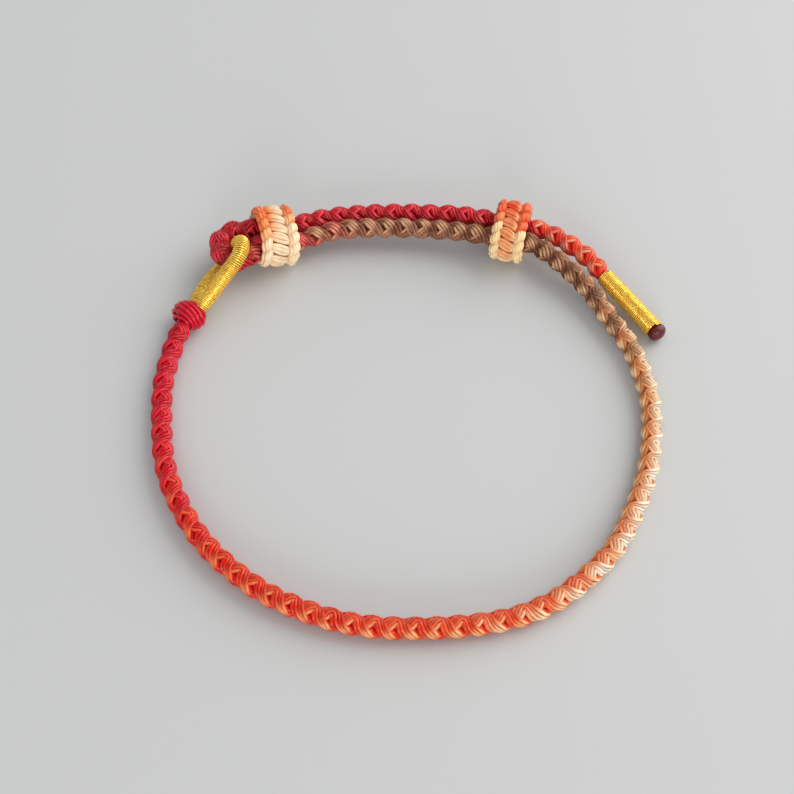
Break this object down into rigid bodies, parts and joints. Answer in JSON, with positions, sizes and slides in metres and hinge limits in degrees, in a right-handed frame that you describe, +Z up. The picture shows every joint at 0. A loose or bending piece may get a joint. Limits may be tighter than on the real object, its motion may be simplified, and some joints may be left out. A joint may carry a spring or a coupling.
{
  "type": "string bracelet",
  "caption": "Adjustable knotted cord bracelet lying flat: a beaded braid loop closed by sliding knots, with a gold-wrapped loop and tail.",
  "frame": {"origin": "centre of the bracelet's box, on the surface it lies on", "axes": "+Z up, along the axis of the wrist opening; +X from the button knot's side towards the wrapped tail; +Y towards the sliding knots"},
  "size_m": [0.0617, 0.0599, 0.0069],
  "materials": {
    "braid_cord": "satin waxed thread",
    "knot_cord": "satin waxed thread",
    "slider_cord_peach": "satin waxed thread",
    "slider_cord_coral": "satin waxed thread",
    "gold_thread": "glossy metallic thread",
    "melted_tip": "gloss"
  },
  "bodies": {
    "root": {"braid_loop": "braid_cord", "braid_return": "braid_cord", "end_knot": "knot_cord", "gold_loop": "gold_thread", "slider_left": "slider_cord_peach", "slider_right": "slider_cord_coral", "tail_wrap": "gold_thread", "tail_tip": "melted_tip"}
  },
  "joints": []
}
